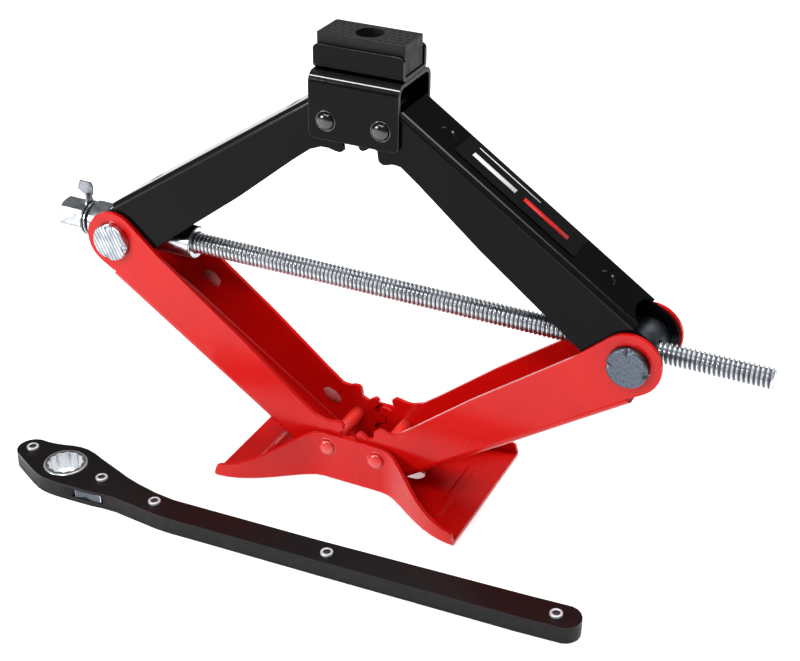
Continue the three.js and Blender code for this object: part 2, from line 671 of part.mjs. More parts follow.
function sidePlate(z0, z1) {
  const holes = [...screwHoles(SHANK_RADIUS + GAP), ringHole(RING_RADIUS + GAP)];
  return slabZ(outline(handleOutline(), holes), z0, z1);
}
add("handle_plate_top", sidePlate(HANDLE_THICK - HANDLE_PLATE, HANDLE_THICK), BLACK);
add("handle_plate_bottom", sidePlate(0, HANDLE_PLATE), BLACK);

// The core leaves a pocket in front of the ring for the pawl, its spring and its lever.
const POCKET = [[36.2, -9.3], [41, -7.2], [67, -7.2], [67, -21], [47, -21], [47, -13.4], [38.2, -13.4]];
function handleCore() {
  const holes = [...screwHoles(SHANK_RADIUS + GAP), ringHole(RING_RADIUS + 1.2)];
  const body = slabZ(outline(handleOutline(0.8), holes), CORE_LOW, CORE_TOP);
  return cut(body, pocketPiece(POCKET, CORE_LOW + CORE_FLOOR, CORE_TOP + 3));
}
add("handle_core", handleCore(), PLASTIC);

// Ratchet ring: a twelve-point socket through it, fine ratchet teeth round its waist.
function ratchetRing() {
  const star = [];
  for (let i = 0; i < 24; i += 1) {
    const angle = (i * Math.PI) / 12;
    const radius = i % 2 ? SOCKET_VALLEY : SOCKET_POINT;
    star.push([RING[0] + radius * Math.cos(angle), RING[1] + radius * Math.sin(angle)]);
  }
  const rim = tube(8, RING_RADIUS, 0.1, HANDLE_THICK + 0.3, 0.6);
  const body = turned(rim, 36, alongZ(...RING));
  return cut(body, slabZ(outline(star), -2, HANDLE_THICK + 3));
}
add("ratchet_ring", ratchetRing(), ZINC);

function pocketPiece(corners, z0, z1) {
  return slabZ(outline(corners.map(([s, t]) => head(s, t))), z0, z1);
}
const PIECE_LOW = CORE_LOW + CORE_FLOOR + GAP;
const PAWL = [[36.9, -9.6], [41.5, -8.1], [46, -9], [46.3, -12.8], [39, -12.9]];
const LEVER = [
  [48.2, -10.4], [65.4, -10.2], [65.4, -11.2], [60, -12.4], [54, -12.9], [51.4, -14.2], [48.4, -14.9],
];
const SPRING = [[51, -8], [63.5, -8], [63.5, -9.7], [51, -9.7]];
add("pawl", pocketPiece(PAWL, PIECE_LOW, CORE_TOP), ZINC);
add("reversing_lever", pocketPiece(LEVER, PIECE_LOW, CORE_TOP), ZINC);
add("pawl_spring", pocketPiece(SPRING, PIECE_LOW, CORE_TOP - 0.6), ZINC);

HANDLE_SCREWS.forEach(([x, y], i) => {
  const seat = HANDLE_THICK + GAP;
  const profile = [
    [0, 0.2], [SHANK_RADIUS, 0.2], [SHANK_RADIUS, seat],
    [3.7, seat], [3.5, seat + 0.7], [2.4, seat + 1.4], [0, seat + 1.5],
  ];
  add(`handle_screw_${i + 1}`, turned(profile, 14, alongZ(x, y)), ZINC);
});

export default group;
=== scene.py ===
"""Looks of the scissor stabilizer jack and its loose ratchet handle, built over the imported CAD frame."""
import json
import math

import bmesh
import bpy
from mathutils import Matrix, Vector


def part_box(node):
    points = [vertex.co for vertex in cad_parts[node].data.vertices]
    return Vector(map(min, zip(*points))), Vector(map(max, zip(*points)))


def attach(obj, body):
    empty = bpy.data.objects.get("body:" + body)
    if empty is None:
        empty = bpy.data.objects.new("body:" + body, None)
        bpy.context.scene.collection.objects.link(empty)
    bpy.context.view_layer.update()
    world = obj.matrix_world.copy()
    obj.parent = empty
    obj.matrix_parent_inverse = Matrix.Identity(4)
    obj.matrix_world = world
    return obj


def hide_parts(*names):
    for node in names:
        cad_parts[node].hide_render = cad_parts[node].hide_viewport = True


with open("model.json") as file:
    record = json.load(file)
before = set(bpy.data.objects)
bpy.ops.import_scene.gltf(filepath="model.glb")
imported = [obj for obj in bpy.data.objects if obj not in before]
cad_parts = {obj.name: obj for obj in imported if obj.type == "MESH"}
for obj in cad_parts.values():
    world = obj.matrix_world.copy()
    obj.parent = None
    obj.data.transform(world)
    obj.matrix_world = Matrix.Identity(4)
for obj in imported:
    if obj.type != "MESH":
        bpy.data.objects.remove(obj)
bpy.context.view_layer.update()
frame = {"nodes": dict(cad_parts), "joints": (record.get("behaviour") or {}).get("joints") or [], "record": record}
NODES = frame["nodes"]
BODY_OF = {node: body for body, nodes in frame["record"]["behaviour"]["bodies"].items() for node in nodes}
SLOT_OF = {part["node"]: part["material_slot"] for part in frame["record"]["subparts"]}
JOINTS = {joint["name"]: joint for joint in frame["joints"]}
MM = 0.001

# sizes in millimetres, as the CAD has them
SCREW_CREST = 6.35
SCREW_ROOT = 5.0
THREAD_PITCH = 2.6
PIN_RADIUS = 4.4
TRUNNION_RADIUS = 11.5
SCREW_BORE = 6.7
PAD_HOLE_CLEAR = 9.6  # no pips this near the pad's round recess


# ---- materials -----------------------------------------------------------------------------------
class Surface:
    """A node material, with short ways to add noise, ramps and bump."""

    def __init__(self, name, **sockets):
        self.material = bpy.data.materials.new(name)
        self.material.use_nodes = True
        self.tree = self.material.node_tree
        self.shader = self.tree.nodes["Principled BSDF"]
        for socket, value in sockets.items():
            self.shader.inputs[socket.replace("_", " ")].default_value = value
        self.height = None
        self.place = self.node("ShaderNodeTexCoord").outputs["Object"]

    def node(self, kind, **inputs):
        made = self.tree.nodes.new(kind)
        for name, value in inputs.items():
            self.put(made.inputs[name.replace("_", " ")], value)
        return made

    def put(self, socket, value):
        if isinstance(value, bpy.types.NodeSocket):
            self.tree.links.new(value, socket)
        else:
            socket.default_value = value

    def stretched(self, scale, turn=(0, 0, 0)):
        mapping = self.node("ShaderNodeMapping", Vector=self.place, Scale=scale, Rotation=turn)
        return mapping.outputs["Vector"]

    def noise(self, scale, detail=4, roughness=0.55, place=None):
        made = self.node("ShaderNodeTexNoise", Vector=place or self.place, Scale=scale,
                         Detail=detail, Roughness=roughness)
        return made.outputs["Fac"]

    def cells(self, scale, place=None):
        made = self.node("ShaderNodeTexVoronoi", Vector=place or self.place, Scale=scale)
        return made.outputs["Distance"]

    def span(self, value, low, high, to_low=0.0, to_high=1.0):
        made = self.node("ShaderNodeMapRange", Value=value)
        made.interpolation_type = "SMOOTHSTEP"
        limits = {"From Min": low, "From Max": high, "To Min": to_low, "To Max": to_high}
        for name, amount in limits.items():
            made.inputs[name].default_value = amount
        return made.outputs["Result"]

    def sum(self, a, b, how="ADD"):
        made = self.node("ShaderNodeMath")
        made.operation = how
        self.put(made.inputs[0], a)
        self.put(made.inputs[1], b)
        return made.outputs[0]

    def blend(self, factor, a, b):
        made = self.tree.nodes.new("ShaderNodeMix")
        made.data_type = "RGBA"
        self.put(made.inputs[0], factor)
        self.put(made.inputs[6], a)
        self.put(made.inputs[7], b)
        return made.outputs[2]

    def colour(self, value):
        self.put(self.shader.inputs["Base Color"], value)

    def roughness(self, value):
        self.put(self.shader.inputs["Roughness"], value)

    def metal(self, value):
        self.put(self.shader.inputs["Metallic"], value)

    def bump(self, height, distance, strength=1.0):
        made = self.node("ShaderNodeBump", Height=height, Distance=distance, Strength=strength)
        if self.height is not None:
            self.put(made.inputs["Normal"], self.height)
        self.height = made.outputs["Normal"]
        self.put(self.shader.inputs["Normal"], self.height)


def rgb(red, green, blue):
    """An sRGB colour, 0 to 255, as linear RGBA."""
    def linear(value):
        value /= 255
        return value / 12.92 if value <= 0.04045 else ((value + 0.055) / 1.055) ** 2.4
    return (linear(red), linear(green), linear(blue), 1)


def gloss_paint(name, colour, deep, roughness, peel, specular, coat, chips=0.0, bare=None):
    """Sprayed enamel: slow tone shifts, orange peel, dust nibs, and chips down to bare metal."""
    made = Surface(name, Coat_Weight=coat, Coat_Roughness=0.12, Specular_IOR_Level=specular)
    base = made.blend(made.span(made.noise(38, 3), 0.35, 0.68), colour, deep)
    scuff = made.span(made.noise(420, 5, 0.7, made.stretched((1, 0.35, 1), (0.3, 0.2, 0.9))), 0.62, 0.76)
    made.roughness(made.sum(made.span(made.noise(160, 4), 0.3, 0.7, roughness - 0.015, roughness + 0.015),
                            made.sum(scuff, 0.015, "MULTIPLY")))
    made.bump(made.noise(420, 2), peel)
    made.bump(made.span(made.cells(230), 0.0, 0.06, 1.0, 0.0), 0.000006, 0.5)
    if bare is None:
        made.colour(base)
        return made.material
    mask = made.span(made.sum(made.noise(700, 5, 0.7), made.sum(made.noise(60, 2), 0.5, "MULTIPLY")),
                     0.93 - chips, 0.97 - chips)
    made.colour(made.blend(mask, base, bare))
    made.bump(mask, -0.00005)
    return made.material


def zinc(name, colour, deep, roughness, mottle, grain=0.000006, pits=0.000008, metallic=1.0):
    """Bright zinc plate: mottled tone, fine grain and faint tumbling marks."""
    made = Surface(name, Specular_IOR_Level=0.5)
    patches = made.span(made.noise(mottle, 5, 0.62), 0.32, 0.68)
    made.colour(made.blend(patches, colour, deep))
    made.metal(metallic)
    made.roughness(made.span(made.noise(mottle * 2.3, 4), 0.3, 0.7, roughness - 0.04, roughness + 0.07))
    made.bump(made.noise(1800, 3), grain)
    made.bump(made.span(made.cells(420), 0.0, 0.22, 1.0, 0.0), pits, 0.5)
    return made.material


def turned_zinc(name, colour, deep, speckle, ridges=0.0):
    """A pin's sheared end under zinc: a speckled, slightly pitted face."""
    made = Surface(name, Specular_IOR_Level=0.5)
    made.metal(1.0)
    patches = made.span(made.noise(speckle, 5, 0.68), 0.38, 0.62)
    tone = made.blend(patches, colour, deep)
    if ridges:
        wave = made.node("ShaderNodeTexWave", Vector=made.stretched((1, 1, 1), (0, ridges, 0)), Scale=137.0,
                         Distortion=1.2, Detail=2.0)
        grooves = made.span(wave.outputs["Fac"], 0.1, 0.6, 1.0, 0.0)
        # the grooves between the ridges are darkened in colour as painted shade, besides being dented by the bump
        tone = made.blend(made.sum(grooves, 0.6, "MULTIPLY"), tone, rgb(84, 90, 98))
        made.bump(grooves, -0.00025)
    made.colour(tone)
    made.roughness(made.span(patches, 0, 1, 0.28, 0.5))
    made.bump(patches, 0.00003)
    made.bump(made.noise(1400, 4, 0.7), 0.00003)
    return made.material


def moulded(name, colour, deep, roughness, grain, distance, sheen=0.0):
    """Rubber or moulded plastic with a fine matt grain and faint dusty wear."""
    made = Surface(name, Specular_IOR_Level=0.22, Sheen_Weight=sheen, Sheen_Roughness=0.5)
    made.colour(made.blend(made.span(made.noise(90, 5, 0.6), 0.35, 0.7), colour, deep))
    made.roughness(made.span(made.noise(240, 4), 0.3, 0.7, roughness - 0.07, roughness + 0.07))
    made.bump(made.noise(grain, 3, 0.6), distance)
    return made.material


RED = rgb(195, 12, 8)
RED_DEEP = rgb(189, 10, 7)
BLACK = rgb(6, 6, 8)
BLACK_DEEP = rgb(4, 4, 6)
FAINT = (0.000001, 0.000001)  # bump heights of a rolled or machined face
MATERIALS = {
    "red": gloss_paint("red enamel", RED, RED_DEEP, 0.26, 0.00002, 0.18, 0.22),
    # red_edge: the lighter red of the rounded edges is a painted highlight; the chips down to bare metal along
    # them are real wear
    "red_edge": gloss_paint("red enamel, edge with painted highlight and wear", rgb(216, 46, 38), rgb(206, 34, 27),
                            0.24, 0.00003, 0.6, 0.5, 0.03, rgb(226, 170, 165)),
    "black": gloss_paint("black enamel", BLACK, BLACK_DEEP, 0.17, 0.00002, 0.09, 0.0),
    "black_edge": gloss_paint("black enamel, worn edge", BLACK, BLACK_DEEP, 0.2, 0.000003, 0.3, 0.15),
    "black_gloss": gloss_paint("black enamel, heavy coat", BLACK, BLACK_DEEP, 0.12, 0.000015, 0.6, 0.7),
    # plate: black, with a red tint that is a painted reflection of the red jack
    "plate": gloss_paint("black oxide with painted red reflection", rgb(15, 9, 10), rgb(12, 8, 9), 0.32, 0.00001, 0.2, 0.0),
    "zinc": zinc("bright zinc", rgb(212, 215, 219), rgb(180, 184, 189), 0.2, 90),
    "thread": zinc("rolled thread, bright zinc", rgb(216, 219, 223), rgb(204, 207, 211), 0.26, 40, *FAINT),
    # thread_root: darker than the crest, the darker colour is painted shade in the thread's root
    "thread_root": zinc("thread root, painted shade", rgb(112, 116, 122), rgb(92, 96, 102), 0.5, 200, *FAINT),
    "zinc_edge": zinc("zinc edge", rgb(104, 108, 114), rgb(78, 82, 88), 0.32, 200, *FAINT),
    "tab": zinc("folded tab", rgb(150, 154, 160), rgb(96, 101, 108), 0.3, 120),
    "hexagon": zinc("hexagon, mottled zinc", rgb(196, 200, 205), rgb(172, 177, 183), 0.24, 150),
    "dull": zinc("dull zinc", rgb(96, 103, 110), rgb(58, 63, 68), 0.4, 90),
    "pin_left": turned_zinc("pin end, ridged", rgb(214, 219, 225), rgb(176, 183, 192), 150,
                            ridges=math.radians(26)),
    "pin_right": turned_zinc("pin end, mottled", rgb(100, 107, 118), rgb(78, 85, 96), 1000),
    "rubber": moulded("rubber", rgb(19, 18, 19), rgb(12, 12, 13), 0.55, 1500, 0.00006, 0.03),
    "core": moulded("moulded core", rgb(13, 13, 14), rgb(9, 9, 10), 0.5, 1300, 0.00003),
    "label": gloss_paint("label film", rgb(11, 11, 13), rgb(8, 8, 10), 0.2, 0.00001, 0.2, 0.0),
    "ink_white": moulded("white ink", rgb(228, 229, 231), rgb(208, 209, 211), 0.4, 900, 0.00001),
    "ink_red": moulded("red ink", rgb(205, 32, 28), rgb(180, 22, 22), 0.4, 900, 0.00001),
    "pale_oval_mark": moulded("pale oval mark", rgb(202, 138, 134), rgb(176, 96, 92), 0.5, 700, 0.00004),
    "screw_head": zinc("handle screw", rgb(226, 229, 232), rgb(196, 200, 205), 0.35, 300, metallic=0.55),
    # recess: the socket is darker than the screw head, as painted shade in the recess
    "recess": zinc("screw recess, painted shade", rgb(84, 88, 94), rgb(56, 60, 65), 0.45, 300, metallic=0.6),
}
# the looks of a material slot's flat faces and of its rounded edges
SLOT_LOOK = {
    "red_paint": ("red", "red_edge"), "black_paint": ("black", "black_edge"), "zinc": ("zinc", "zinc_edge"),
    "dull_zinc": ("dull", "dull"), "rubber": ("rubber", "rubber"), "plastic": ("core", "core"),
    "label": ("label", "label"),
}


BOX_FACES = ((3, 2, 1, 0), (4, 5, 6, 7), (0, 1, 5, 4), (1, 2, 6, 5), (2, 3, 7, 6), (3, 0, 4, 7))


# ---- mesh helpers --------------------------------------------------------------------------------
def new_piece(name, bm, looks, body, slot, *stands_for):
    """Turns a bmesh, in metres, into a shown piece that rides on a CAD body."""
    mesh = bpy.data.meshes.new(name)
    bm.to_mesh(mesh)
    bm.free()
    for look in looks:
        mesh.materials.append(MATERIALS[look])
    mesh.shade_smooth()
    piece = bpy.data.objects.new(name, mesh)
    bpy.context.scene.collection.objects.link(piece)
    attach(piece, body)
    if stands_for:
        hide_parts(*stands_for)
    return piece


def crease(piece, degrees=32):
    """Sharp edges stay sharp and flat faces shade flat."""
    piece.data.set_sharp_from_angle(angle=math.radians(degrees))
    weighted = piece.modifiers.new("flat faces", "WEIGHTED_NORMAL")
    weighted.keep_sharp = True
    weighted.weight = 100
    return piece


def refined(node, width=0.45, segments=2, looks=None, angle=26, bends=False):
    """A CAD node's own mesh, its triangles merged and its edges rounded; the rounds take the second look."""
    bm = bmesh.new()
    bm.from_mesh(NODES[node].data)
    bmesh.ops.remove_doubles(bm, verts=bm.verts, dist=0.002 * MM)
    bmesh.ops.dissolve_limit(bm, angle_limit=math.radians(0.6), verts=bm.verts, edges=bm.edges)
    bm.faces.ensure_lookup_table()
    for face in bm.faces:
        face.material_index = 1 if bends and 0.12 < abs(face.normal.y) < 0.985 else 0
    sharp = [e for e in bm.edges if len(e.link_faces) == 2 and e.calc_face_angle(0) > math.radians(angle)]
    bmesh.ops.bevel(bm, geom=sharp, offset=width * MM, offset_type="OFFSET", segments=segments, profile=0.5,
                    affect="EDGES", clamp_overlap=True, material=1)
    looks = looks or SLOT_LOOK[SLOT_OF[node]]
    piece = new_piece(node + "_shape", bm, looks, BODY_OF[node], SLOT_OF[node], node)
    return crease(piece, 40)


def lathe(profile, sides, place):
    """A bmesh turned from (radius, along) points; place carries (a, b, along) to the frame."""
    bm = bmesh.new()
    rings = []
    for radius, along in profile:
        if radius < 1e-6:
            rings.append([bm.verts.new(place(0, 0, along))])
            continue
        ring = []
        for i in range(sides):
            angle = 2 * math.pi * i / sides
            ring.append(bm.verts.new(place(radius * math.cos(angle), radius * math.sin(angle), along)))
        rings.append(ring)
    for below, above in zip(rings, rings[1:]):
        for i in range(sides):
            j = (i + 1) % sides
            corners = [ring[k % len(ring)] for ring, k in ((below, i), (below, j), (above, j), (above, i))]
            unique = list(dict.fromkeys(corners))
            if len(unique) > 2:
                bm.faces.new(unique)
    bmesh.ops.recalc_face_normals(bm, faces=bm.faces)
    return bm


def along_x(z):
    return lambda a, b, c: Vector((c, a, b + z)) * MM


def along_y(x, z):
    return lambda a, b, c: Vector((a + x, c, b + z)) * MM


def along_z(x, y):
    return lambda a, b, c: Vector((a + x, b + y, c)) * MM


def centre(node):
    low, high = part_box(node)
    return (low + high) / 2 / MM


# ---- drive screw ---------------------------------------------------------------------------------
def drive_screw():
    low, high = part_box("drive_screw")
    start, end = low.x / MM, high.x / MM
    axis_z = centre("drive_screw").z
    thread_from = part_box("trunnion_left")[1].x / MM - 8
    depth = SCREW_CREST - SCREW_ROOT
    section = [(step / 10, 0.5 - 0.5 * math.cos(math.pi * step / 5)) for step in range(10)]
    steps = 40
    turns = (end - thread_from) / THREAD_PITCH
    bm = bmesh.new()
    columns = []
    for i in range(int((turns + 1) * steps) + 1):
        angle = 2 * math.pi * i / steps
        base = thread_from + THREAD_PITCH * i / steps
        column = []
        for part, rise in section:
            x = min(max(base + (part - 1) * THREAD_PITCH, thread_from), end)
            fade = min(1.0, (end - x) / 0.9)
            radius = SCREW_ROOT + rise * depth * fade
            point = Vector((x, radius * math.cos(angle), axis_z + radius * math.sin(angle)))
            column.append(bm.verts.new(point * MM))
        columns.append(column)
    for now, then in zip(columns, columns[1:]):
        for k in range(len(section) - 1):
            side = bm.faces.new((now[k], now[k + 1], then[k + 1], then[k]))
            # faces low in the section take the darker root look: painted shade in the thread's root
            side.material_index = 1 if section[k][1] + section[k + 1][1] < 0.7 else 0
    for i in range(len(columns) - steps - 1):
        a, b = columns[i], columns[i + 1]
        c, d = columns[i + steps], columns[i + steps + 1]
        # the faces joining one turn to the next also take the darker root look as painted shade
        bm.faces.new((a[-1], c[0], d[0], b[-1])).material_index = 1
    bmesh.ops.remove_doubles(bm, verts=bm.verts, dist=0.003 * MM)
    bmesh.ops.recalc_face_normals(bm, faces=bm.faces)
    thread = new_piece("screw_thread", bm, ["thread", "thread_root"], "screw", "zinc", "drive_screw")
    crease(thread, 75)
    shank_end = thread_from + 0.4
    shank = lathe([(0, start), (5.6, start), (6.2, start + 0.6), (6.2, shank_end), (0, shank_end)],
                  40, along_x(axis_z))
    crease(new_piece("screw_shank", shank, ["zinc"], "screw", "zinc"), 40)
    tip = lathe([(0, end - 0.05), (3.9, end - 0.05), (4.96, end - 0.3), (4.96, end - 9), (0, end - 9)],
                40, along_x(axis_z))
    crease(new_piece("screw_tip", tip, ["thread"], "screw", "zinc"), 40)


# ---- pins and trunnions --------------------------------------------------------------------------
# the red pins take red_edge, whose lighter red is a painted highlight
PIN_LOOK = {"black_paint": "black_gloss", "red_paint": "red_edge"}


def pin_with_domes(node, sides=40):
    """A rod with a peened dome at both ends, and the ring pressed into the sheet round each dome."""
    low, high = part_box(node)
    end = high.y / MM
    middle = centre(node)
    head = (high.x - low.x) / MM / 2
    dome = [(PIN_RADIUS, end - 2.3), (head, end - 2.15), (head * 0.97, end - 1.5), (head * 0.84, end - 0.8),
            (head * 0.6, end - 0.3), (head * 0.3, end - 0.05), (0, end)]
    profile = [(radius, -along) for radius, along in reversed(dome)] + dome
    look = PIN_LOOK[SLOT_OF[node]]
    place = along_y(middle.x, middle.z)
    body, slot = BODY_OF[node], SLOT_OF[node]
    crease(new_piece(node + "_shape", lathe(profile, sides, place), [look], body, slot, node), 60)
    for side in (-1, 1):
        face = side * (end - 2.6)
        section = ((0.2, -0.3), (0.25, 0.16), (0.6, 0.24), (0.95, 0.14), (1.1, -0.3))
        ring = [(head + out, face + side * rise) for out, rise in section]
        name = f"{node}_{'front' if side < 0 else 'back'}_ring"
        new_piece(name, lathe(ring, sides, place), [look], body, slot)


def staked_trunnion(node, notches, look, body_look):
    """A trunnion with a chamfered barrel, a sheared end face and the dents of its staking tool."""
    low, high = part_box(node)
    end = high.y / MM
    middle = centre(node)
    rings = [0, 2, 4, 5.5, 7, 8.2, 9.2, 10, 10.5]
    sides = 96
    rim = [(10.9, end - 0.15), (TRUNNION_RADIUS, end - 0.8)]
    near = [(r, -end) for r in rings] + [(r, -along) for r, along in rim]
    far = list(reversed(rim)) + [(r, end) for r in reversed(rings)]
    bm = lathe(near + far, sides, along_y(middle.x, middle.z))
    for vertex in bm.verts:
        x, y, z = vertex.co.x / MM - middle.x, vertex.co.y / MM, vertex.co.z / MM - middle.z
        radius = math.hypot(x, z)
        if abs(y) < end - 1:
            continue
        depth = 0.0
        for notch in notches:
            turn = (math.degrees(math.atan2(z, x)) - notch + 180) % 360 - 180
            if radius > 8.4:
                depth += 1.5 * math.exp(-(turn / 8.5) ** 2) * min(1, (radius - 8.4) / 1.2)
                if radius > 11:
                    shrink = 1 - 0.05 * math.exp(-(turn / 6.5) ** 2)
                    vertex.co.x = (middle.x + x * shrink) * MM
                    vertex.co.z = (middle.z + z * shrink) * MM
        vertex.co.y -= math.copysign(depth, y) * MM
    for face in bm.faces:
        centre_y = abs(face.calc_center_median().y) / MM
        face.material_index = 1 if centre_y > end - 1.6 else 0
    piece = new_piece(node + "_shape", bm, [body_look, look], BODY_OF[node], SLOT_OF[node], node)
    bored = piece.modifiers.new("bore", "BOOLEAN")
    bored.operation = "DIFFERENCE"
    bored.solver = "EXACT"
    bored.object = cutter(lathe([(0, -40), (SCREW_BORE, -40), (SCREW_BORE, 40), (0, 40)], 32,
                                lambda a, b, c: Vector((c + middle.x, a, b + middle.z)) * MM))
    return crease(frozen(piece), 38)


def cutter(bm):
    """A tool for a boolean, thrown away once the cut is made."""
    mesh = bpy.data.meshes.new("cutter")
    bm.to_mesh(mesh)
    bm.free()
    made = bpy.data.objects.new("cutter", mesh)
    bpy.context.scene.collection.objects.link(made)
    return made


def frozen(piece):
    """Applies a piece's modifiers, then removes the tools they used."""
    tools = [m.object for m in piece.modifiers if m.type == "BOOLEAN"]
    graph = bpy.context.evaluated_depsgraph_get()
    mesh = bpy.data.meshes.new_from_object(piece.evaluated_get(graph))
    piece.modifiers.clear()
    piece.data = mesh
    for tool in tools:
        bpy.data.objects.remove(tool)
    return piece


# ---- rubber pad ----------------------------------------------------------------------------------
def rubber_pad():
    low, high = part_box("rubber_pad")
    top = high.z / MM
    pitch, radius, rise = 4.2, 1.05, 0.5
    block = refined("rubber_pad", 0.7, 3)
    for vertex in block.data.vertices:
        vertex.co.z -= rise * MM * max(0.0, min(1.0, (vertex.co.z / MM - top + 2) / 2))
    bm = bmesh.new()
    rows = int((high.y - low.y) / MM // pitch)
    columns = int((high.x - low.x) / MM // pitch)
    for row in range(rows):
        for column in range(columns):
            x = (column - (columns - 1) / 2) * pitch + (0.65 if row % 2 else -0.65)
            y = (row - (rows - 1) / 2) * pitch
            if math.hypot(x, y) < PAD_HOLE_CLEAR or abs(x) > high.x / MM - 1.7:
                continue
            dome = [(radius, top - 0.8), (radius, top - rise * 0.55), (radius * 0.72, top - rise * 0.15),
                    (0, top - 0.02)]
            pip = lathe(dome, 12, along_z(x, y))
            mesh = bpy.data.meshes.new("pip")
            pip.to_mesh(mesh)
            pip.free()
            bm.from_mesh(mesh)
            bpy.data.meshes.remove(mesh)
    new_piece("rubber_pad_pips", bm, ["rubber"], "saddle", "rubber")


# ---- label ---------------------------------------------------------------------------------------
def label_marks():
    """Plain bars printed on the label's film, with no lettering."""
    mesh = NODES["label_plate"].data
    top = max(mesh.polygons, key=lambda face: face.normal.z)
    face_points = [v.co for v in mesh.vertices if abs((v.co - top.center).dot(top.normal)) < 0.02 * MM]
    start = min(face_points, key=lambda point: point.x).copy()
    end = max(face_points, key=lambda point: point.x)
    start.y = 0
    along = Vector((end.x - start.x, 0, end.z - start.z))
    length = along.length
    along.normalize()
    up = Vector((-along.z, 0, along.x))
    # each bar's look, its start and end along the label as shares of its length, and its front and back
    bars = [("ink_white", 0.1, 0.46, -1.2, 2.6), ("ink_white", 0.1, 0.62, 8.6, 9.4),
            ("ink_red", 0.53, 0.9, -1.2, 2.6)]
    for number, (look, begin, end, front, back) in enumerate(bars, 1):
        bm = bmesh.new()
        corners = []
        for level in (-0.1, 0.04):
            for place, y in ((begin, front), (end, front), (end, back), (begin, back)):
                point = start + along * length * place + up * level * MM
                corners.append(bm.verts.new((point.x, y * MM, point.z)))
        for face in BOX_FACES:
            bm.faces.new([corners[i] for i in face])
        new_piece(f"label_bar_{number}", bm, [look], "upper_right", "label")


# ---- ratchet handle --------------------------------------------------------------------------------
def handle_screw(node):
    low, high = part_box(node)
    middle = centre(node)
    top = high.z / MM
    radius = (high.x - low.x) / MM / 2
    under = top - 1.5
    bm = bmesh.new()
    sides = 36
    profile = [(2, 0.2), (2, under), (radius, under), (radius, top - 0.45), (radius * 0.94, top - 0.14),
               (radius * 0.86, top), (radius * 0.66, top - 0.03), (radius * 0.6, top - 0.12)]
    rings = []
    for r, z in profile + [(-1, top - 0.3), (-1, top - 1.1), (0, top - 1.1)]:
        ring = []
        for i in range(sides):
            angle = 2 * math.pi * i / sides
            lobed = radius * (0.46 + 0.07 * math.cos(6 * angle)) if r < 0 else r
            x = middle.x + lobed * math.cos(angle)
            y = middle.y + lobed * math.sin(angle)
            ring.append(bm.verts.new(Vector((x, y, z)) * MM))
        rings.append(ring)
    for level, (below, above) in enumerate(zip(rings, rings[1:])):
        for i in range(sides):
            j = (i + 1) % sides
            face = bm.faces.new((below[i], below[j], above[j], above[i]))
            # the socket's faces take the darker recess look: painted shade
            face.material_index = 1 if level >= len(rings) - 4 else 0
    bm.faces.new(list(reversed(rings[0])))
    bmesh.ops.remove_doubles(bm, verts=bm.verts, dist=0.0005 * MM)
    bmesh.ops.recalc_face_normals(bm, faces=bm.faces)
    crease(new_piece(node + "_shape", bm, ["screw_head", "recess"], "handle", "zinc", node), 40)


def handle_core():
    """The moulded core, flush with the plates all round, with its pocket cut for the lever."""
    first, second = centre("handle_screw_1"), centre("handle_screw_2")
    along = (second - first).normalized()
    across = Vector((-along.y, along.x, 0))
    low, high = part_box("handle_plate_top")
    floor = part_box("handle_plate_bottom")[1].z
    bm = bmesh.new()
    bm.from_mesh(NODES["handle_plate_top"].data)
    for vertex in bm.verts:
        share = (vertex.co.z - low.z) / (high.z - low.z)
        vertex.co.z = floor + share * (low.z - floor)
    bmesh.ops.remove_doubles(bm, verts=bm.verts, dist=0.002 * MM)
    bmesh.ops.dissolve_limit(bm, angle_limit=math.radians(0.6), verts=bm.verts, edges=bm.edges)
    core = new_piece("handle_core_shape", bm, ["core"], "handle", "plastic", "handle_core")
    lever_low, lever_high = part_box("reversing_lever")
    pocket = bmesh.new()
    corners = []
    for z in (lever_low.z / MM - 0.3, lever_high.z / MM + 0.05):
        for s, t in ((46.6, -21), (67, -21), (67, -7.2), (46.6, -7.2)):
            place = Vector((first.x, first.y, 0)) + along * s + across * t
            corners.append(pocket.verts.new(Vector((place.x, place.y, z)) * MM))
    for face in BOX_FACES:
        pocket.faces.new([corners[i] for i in face])
    bored = core.modifiers.new("pocket", "BOOLEAN")
    bored.operation = "DIFFERENCE"
    bored.solver = "EXACT"
    bored.object = cutter(pocket)
    crease(frozen(core), 40)


def pale_oval_marks():
    """Small pale pink oval marks, inside the left arm's back flange."""
    joint = JOINTS["lift"]["pos_m"]
    tip = JOINTS["left_elbow"]["pos_m"]
    along = (Vector(tip) - Vector(joint)).normalized()
    across = Vector((-along.z, 0, along.x))
    inner = (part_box("lower_arm_left")[1].y / MM - 2.5) * MM
    for number, (distance, aside) in enumerate(((123, 1.5), (19, 4.0)), 1):
        bm = bmesh.new()
        centre_point = Vector(joint) + along * distance * MM + across * aside * MM
        ring = []
        for level in (0.04, -0.03):
            loop = []
            for i in range(36):
                angle = 2 * math.pi * i / 36
                reach = 1 + 0.04 * math.sin(3 * angle + number) + 0.04 * math.sin(7 * angle)
                offset = along * 6.6 * math.cos(angle) + across * 4.4 * math.sin(angle)
                point = centre_point + offset * reach * MM
                loop.append(bm.verts.new((point.x, inner - level * MM, point.z)))
            ring.append(loop)
        bm.faces.new(ring[0])
        bm.faces.new(list(reversed(ring[1])))
        for i in range(36):
            j = (i + 1) % 36
            bm.faces.new((ring[0][i], ring[1][i], ring[1][j], ring[0][j]))
        bmesh.ops.recalc_face_normals(bm, faces=bm.faces)
        new_piece(f"pale_oval_mark_{number}", bm, ["pale_oval_mark"], "lower_left", "red_paint")


# ---- camera, light and floor -----------------------------------------------------------------------
CAMERA_PLACE = Vector((0.33745, -0.68225, 0.53498))
CAMERA_YAW = math.radians(24.96)
CAMERA_PITCH = math.radians(-30.02)
CAMERA_ROLL = math.radians(0.85)
CAMERA_LENS = 68.06


